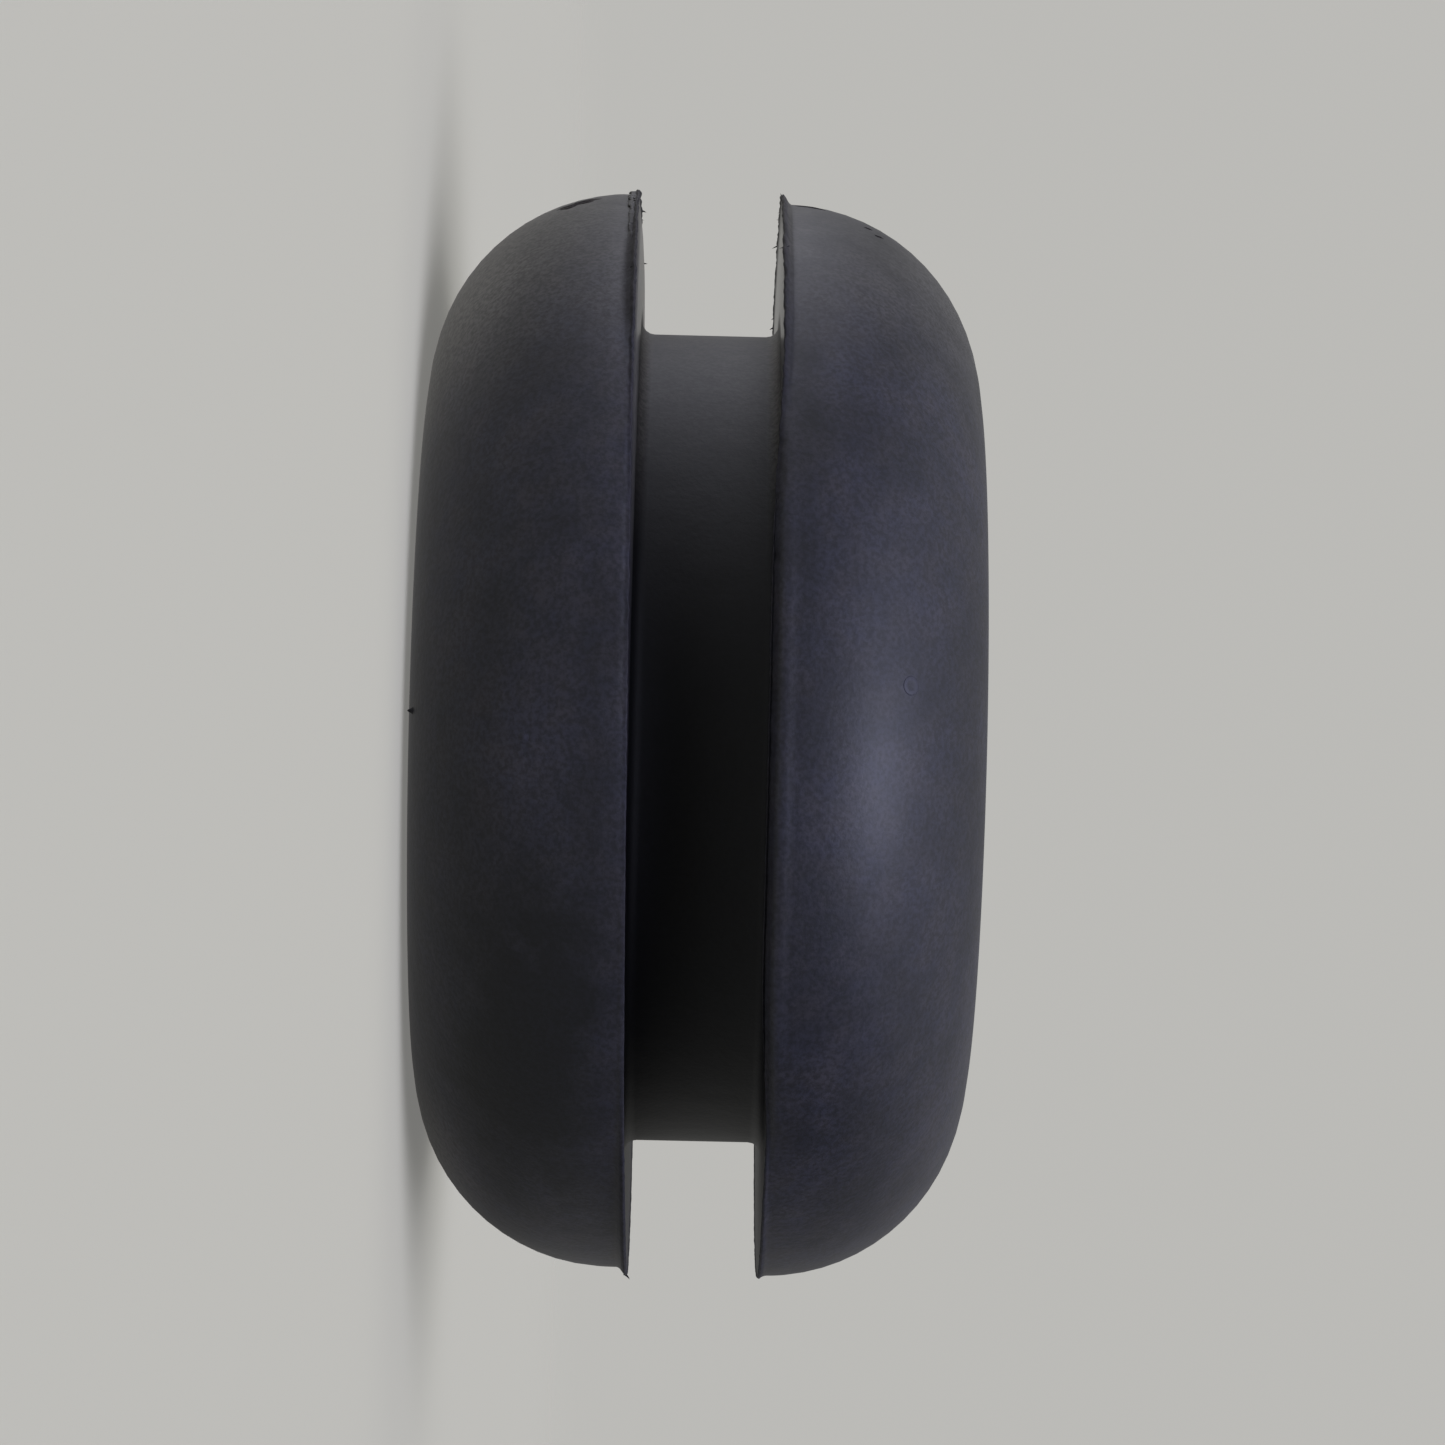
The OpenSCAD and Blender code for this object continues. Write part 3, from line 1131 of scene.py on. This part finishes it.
# %% The shapes of the marks
def bump_of(height):
    """A pimple that melts into the rubber."""
    return lambda r, a: height * MM * (1 - r * r) ** 2 - 0.004 * MM


def ring_of(height):
    """A blister that has sunk in the middle and kept its rim."""
    return lambda r, a: height * MM * math.exp(-((r - 0.62) / 0.17) ** 2) - 0.004 * MM


def scar_of(height):
    """A torn patch with a lumpy top."""
    return lambda r, a: height * MM * (1 - r ** 3) * (1 + 0.35 * math.sin(5 * a + 9 * r)) - 0.006 * MM


# %% The marks
torn_ragged = 0.25
# each mark: azimuth, height, (length, width) in mm, turn, shape, material
marks = {
    "blister": (-6, 4.5, (0.42, 0.42), 0, ring_of(0.012), rubber),
    "pimple": (1, -3.7, (0.26, 0.26), 0, bump_of(0.03), rubber),
    "nub": (-2, -6.22, (0.16, 0.16), 0, bump_of(0.11), rubber),
    # the scar is torn rubber, and its darkness is also a painted shadow under a lifted flap
    "scar_with_painted_shadow": (-77.5, -3.0, (0.9, 0.7), 10, scar_of(0.03), torn_rubber),
    "edge_scar": (-80.5, 2.3, (0.6, 0.22), -6, scar_of(0.018), torn_rubber),
    "nick": (-76, 3.65, (0.2, 0.07), 30, scar_of(0.015), torn_rubber),
    "second_nick": (-74, 3.9, (0.22, 0.08), 25, scar_of(0.015), torn_rubber),
}
for name, (azimuth, z, size, turn, shape, material) in marks.items():
    mark(name, azimuth, z * MM, size, turn, shape, material, torn_ragged if material == torn_rubber else 0.0)
print("marks:", ", ".join(marks))

# %% [markdown]
# ## The floor
#
# The grommet stands on a plain pale floor. From a camera close to the floor its far edge would
# draw a hard line behind the grommet, so the floor fades out into the background long before
# that: near the grommet it is solid and holds the shadow, and further out it turns transparent.

# %% The floor
background = (0.50, 0.495, 0.475, 1)
floor_colour = (0.45, 0.44, 0.36, 1)
floor_reach = 0.4
solid_floor_r = 0.08
clear_floor_r = 0.2
# the shadow on the side away from the light: middle and reach in mm. It dims what the rubber
# mirrors, which is otherwise a little brighter than the floor
floor_shadow = ((12.0, 0.0, -6.35), (24.0, 26.0, 50.0))
shadow_dims = -0.6
mirror_gain = 0.12
# how much of the floor glows by itself to the camera, which keeps the shadow soft
floor_glow = 0.36


def floor_material():
    """Matt to the lamps, pale to what it is mirrored in, and clear further out."""
    material, tree, place = new_material("pale_floor")
    matt = add(tree, "ShaderNodeBsdfDiffuse", {"Color": floor_colour})
    path = add(tree, "ShaderNodeLightPath").outputs
    dimmed = calc(tree, "MULTIPLY_ADD", spot(tree, place, *floor_shadow), shadow_dims, mirror_gain)
    mirrored = add(tree, "ShaderNodeEmission", {
        "Color": background, "Strength": calc(tree, "MULTIPLY_ADD", path["Is Glossy Ray"], dimmed, 1.0)})
    # mirrored in the rubber it glows as pale as the background
    lit_by_itself = calc(tree, "MULTIPLY_ADD", path["Is Camera Ray"], floor_glow, path["Is Glossy Ray"])
    pale = add(tree, "ShaderNodeMixShader", {0: lit_by_itself, 1: matt.outputs[0], 2: mirrored.outputs[0]})
    clear = add(tree, "ShaderNodeBsdfTransparent")
    far = rise(tree, length(tree, place), solid_floor_r, clear_floor_r)
    blend = add(tree, "ShaderNodeMixShader", {0: far, 1: pale.outputs[0], 2: clear.outputs[0]})
    add(tree, "ShaderNodeOutputMaterial", {"Surface": blend.outputs[0]})
    return material


floor_mesh = bpy.data.meshes.new("floor")
corners = [(-floor_reach, -floor_reach), (floor_reach, -floor_reach),
           (floor_reach, floor_reach), (-floor_reach, floor_reach)]
floor_mesh.from_pydata([(x, y, low.z) for x, y in corners], [], [(0, 1, 2, 3)])
floor_mesh.materials.append(floor_material())
floor = new_object("floor", floor_mesh)
print("the floor lies at", low.z)

# %% [markdown]
# ## The light
#
# Black rubber shows its form by what it mirrors, so the studio is drawn as a picture of the
# room in every direction: a dim grey room, a dark zone where the camera stands, and three soft
# boxes. A soft box is a rectangle on the sky with soft edges: the group below finds how far a
# direction lies to the side of the box's middle and above it. The camera itself sees only a
# plain pale background, and so would glass.

# %% A soft box as a shader group
# a box lights only the directions whose cosine to its middle is more than this
ahead_least = 0.05


def soft_box_group():
    """A rectangle of light with soft edges, seen in a direction."""
    tree, given = new_group(
        "Soft box", "ShaderNodeTree",
        {"Direction": "Vector", "Aim": "Vector", "Across": "Vector", "Up": "Vector",
         "Half Width": "Float", "Half Height": "Float", "Edge": "Float", "Light": "Color"},
        {"Light": "Color"})
    ahead = dot(tree, given["Direction"], given["Aim"])
    depth = calc(tree, "MAXIMUM", ahead, ahead_least)
    mask = calc(tree, "GREATER_THAN", ahead, ahead_least)
    for axis, half in (("Across", "Half Width"), ("Up", "Half Height")):
        off = calc(tree, "ABSOLUTE", calc(tree, "DIVIDE", dot(tree, given["Direction"], given[axis]), depth))
        inner = calc(tree, "SUBTRACT", given[half], given["Edge"])
        outer = calc(tree, "ADD", given[half], given["Edge"])
        mask = product(tree, mask, fade(tree, off, inner, outer))
    add(tree, "NodeGroupOutput", {0: scaled(tree, given["Light"], mask)})
    return tree


soft_box = soft_box_group()


def aimed(azimuth, elevation):
    """A direction from the grommet: azimuth 0 is towards the camera and 90 is +X."""
    a, e = math.radians(azimuth), math.radians(elevation)
    return Vector((math.cos(e) * math.sin(a), -math.cos(e) * math.cos(a), math.sin(e)))


# %% The room
room_grey = 0.165
dark_zone = aimed(28, 45)
dark_zone_inner = math.cos(math.radians(46))
dark_zone_outer = math.cos(math.radians(86))
# the pale backdrop stands behind the grommet, and its rims mirror it there
backdrop = aimed(180, 0)
backdrop_inner = math.cos(math.radians(45))
backdrop_outer = math.cos(math.radians(75))
# each box: azimuth, elevation, half width, half height, colour and strength
soft_boxes = {
    "key": (1, 56, 0.54, 0.26, (6.9, 7.0, 8.7)),
    "window": (-101, -11, 0.72, 0.32, (6.2, 6.2, 7.0)),
    "ceiling": (177, 73, 1.23, 0.35, (1.0, 1.0, 1.0)),
}
box_edge = 0.25


def box_light(tree, towards, name):
    """The light of one soft box in every direction."""
    azimuth, elevation, half_width, half_height, colour = soft_boxes[name]
    aim = aimed(azimuth, elevation)
    across = aimed(azimuth + 90, 0)
    box = add(tree, "ShaderNodeGroup", node_tree=soft_box, label=name)
    for socket, value in (("Direction", towards), ("Aim", aim), ("Across", across),
                          ("Up", across.cross(aim)), ("Half Width", half_width),
                          ("Half Height", half_height), ("Edge", box_edge), ("Light", (*colour, 1))):
        put(tree, box.inputs[socket], value)
    return box.outputs["Light"]


def room_world():
    """The room as the rubber mirrors it, and plain and pale to the camera."""
    world = bpy.data.worlds.new("studio")
    world.use_nodes = True
    tree = world.node_tree
    tree.nodes.clear()
    towards = add(tree, "ShaderNodeTexCoord").outputs["Generated"]
    shade = rise(tree, dot(tree, towards, dark_zone), dark_zone_inner, dark_zone_outer)
    light = scaled(tree, (room_grey, room_grey, room_grey), shade)
    for name in soft_boxes:
        light = vector_calc(tree, "ADD", light, box_light(tree, towards, name))
    path = add(tree, "ShaderNodeLightPath").outputs
    seen = calc(tree, "MAXIMUM", path["Is Camera Ray"], path["Is Transmission Ray"])
    behind = rise(tree, dot(tree, towards, backdrop), backdrop_outer, backdrop_inner)
    mirrored = scaled(tree, background[:3], product(tree, path["Is Glossy Ray"], behind))
    light = vector_calc(tree, "MAXIMUM", light, mirrored)
    sky = add(tree, "ShaderNodeBackground", {"Color": mixed(tree, seen, light, background)})
    add(tree, "ShaderNodeOutputWorld", {"Surface": sky.outputs[0]})
    return world


bpy.context.scene.world = room_world()
bpy.context.scene.view_settings.view_transform = "Standard"
print("the room has", len(soft_boxes), "soft boxes")

# %% [markdown]
# ## The camera
#
# The grommet is seen from the side, lying down: the picture's right is +Z and its top is -X.
# The camera is close, about nine times the ring's radius away, so the near parts of the lips
# look larger than the far ones. A camera's lens is given as the size of a sensor, so here it is
# worked out from the picture's width and the focal length, both in pixels.

# %% The camera
picture_pixels = 1445
focal_pixels = 5000
sensor = 36.0
# how far the camera stands from the axis, and how far its height is off the middle of the
# groove, as shares of the lip's radius
distance_share = 9.267
height_share = -0.0229
camera_data = bpy.data.cameras.new("camera")
camera = new_object("camera", camera_data)
bpy.context.scene.camera = camera
camera_data.sensor_width = sensor
camera_data.lens = focal_pixels / picture_pixels * sensor
camera_data.clip_start = 0.005
camera_place = Vector((0, -distance_share * lip_r, groove_middle + height_share * lip_r))
pan, tilt, roll = (math.radians(a) for a in (0.383, -0.187, -1.312))
sideways = Matrix(((0, -1, 0), (0, 0, -1), (1, 0, 0)))
turned = Matrix.Rotation(-pan, 3, "Y") @ Matrix.Rotation(-tilt, 3, "X") @ Matrix.Rotation(-roll, 3, "Z")
camera.matrix_world = Matrix.Translation(camera_place) @ (sideways @ turned).to_4x4()
print(f"the camera stands {camera_place.length / MM:.1f} mm away, with a lens of {camera_data.lens:.1f} mm")
